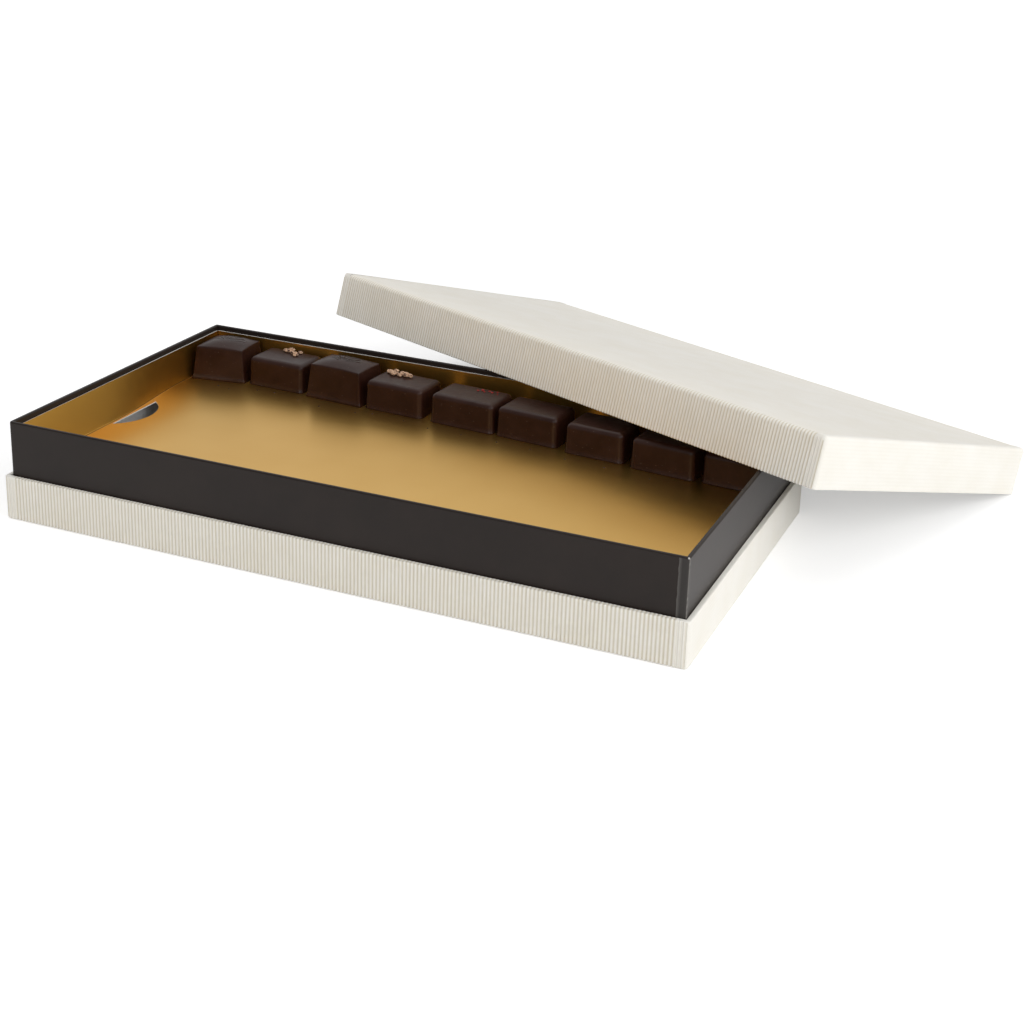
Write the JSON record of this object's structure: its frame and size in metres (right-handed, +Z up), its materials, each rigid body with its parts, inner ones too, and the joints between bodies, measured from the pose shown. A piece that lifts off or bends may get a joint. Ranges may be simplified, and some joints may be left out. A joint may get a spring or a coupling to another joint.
{
  "type": "chocolate box",
  "caption": "Open rigid gift box with a ribbed paper base and lid, a dark neck, a gold card tray and a row of dark pralines; the lid leans on the neck.",
  "frame": {"origin": "centre of the base's underside, on the surface that the box stands on", "axes": "+X along the box's long side, to the right; +Y to the back, where the lid lies; +Z up"},
  "size_m": [0.3906, 0.3559, 0.0647],
  "materials": {
    "greyboard": "matte",
    "ribbed_paper": "satin",
    "dark_paper": "matte",
    "plain_card": "matte",
    "liner_paper": "matte",
    "gold_card": "satin",
    "dark_chocolate": "satin",
    "cacao_nib": "matte",
    "fruit_flake": "matte"
  },
  "bodies": {
    "base": {"base_board": "greyboard", "base_wrap": "ribbed_paper", "base_liner": "liner_paper", "neck_board": "greyboard", "neck_wrap": "dark_paper", "tray_platform": "plain_card", "platform_strut_left": "plain_card", "platform_strut_right": "plain_card"},
    "tray": {"gold_tray": "gold_card"},
    "lid": {"lid_board": "greyboard", "lid_wrap": "ribbed_paper", "lid_liner": "liner_paper"},
    "praline_1_piece": {"praline_1": "dark_chocolate"},
    "praline_2_piece": {"praline_2": "dark_chocolate", "nibs_2": "cacao_nib"},
    "praline_3_piece": {"praline_3": "dark_chocolate"},
    "praline_4_piece": {"praline_4": "dark_chocolate", "nibs_4": "cacao_nib"},
    "praline_5_piece": {"praline_5": "dark_chocolate", "flakes_5": "fruit_flake"},
    "praline_6_piece": {"praline_6": "dark_chocolate"},
    "praline_7_piece": {"praline_7": "dark_chocolate"},
    "praline_8_piece": {"praline_8": "dark_chocolate"},
    "praline_9_piece": {"praline_9": "dark_chocolate"}
  },
  "joints": [
    {"name": "lid_lift", "type": "slide", "parent": "base", "child": "lid", "axis": [0, 0, 1], "range_m": [0, 0.08]},
    {"name": "tray_lift", "type": "slide", "parent": "base", "child": "tray", "axis": [0, 0, 1], "range_m": [0, 0.001]},
    {"name": "praline_1_lift", "type": "slide", "parent": "tray", "child": "praline_1_piece", "axis": [0, 0, 1], "range_m": [0, 0.04]},
    {"name": "praline_2_lift", "type": "slide", "parent": "tray", "child": "praline_2_piece", "axis": [0, 0, 1], "range_m": [0, 0.04]},
    {"name": "praline_3_lift", "type": "slide", "parent": "tray", "child": "praline_3_piece", "axis": [0, 0, 1], "range_m": [0, 0.04]},
    {"name": "praline_4_lift", "type": "slide", "parent": "tray", "child": "praline_4_piece", "axis": [0, 0, 1], "range_m": [0, 0.04]},
    {"name": "praline_5_lift", "type": "slide", "parent": "tray", "child": "praline_5_piece", "axis": [0, 0, 1], "range_m": [0, 0.04]},
    {"name": "praline_6_lift", "type": "slide", "parent": "tray", "child": "praline_6_piece", "axis": [0, 0, 1], "range_m": [0, 0.004]},
    {"name": "praline_7_lift", "type": "slide", "parent": "tray", "child": "praline_7_piece", "axis": [0, 0, 1], "range_m": [0, 0.004]},
    {"name": "praline_8_lift", "type": "slide", "parent": "tray", "child": "praline_8_piece", "axis": [0, 0, 1], "range_m": [0, 0.004]},
    {"name": "praline_9_lift", "type": "slide", "parent": "tray", "child": "praline_9_piece", "axis": [0, 0, 1], "range_m": [0, 0.008]}
  ]
}
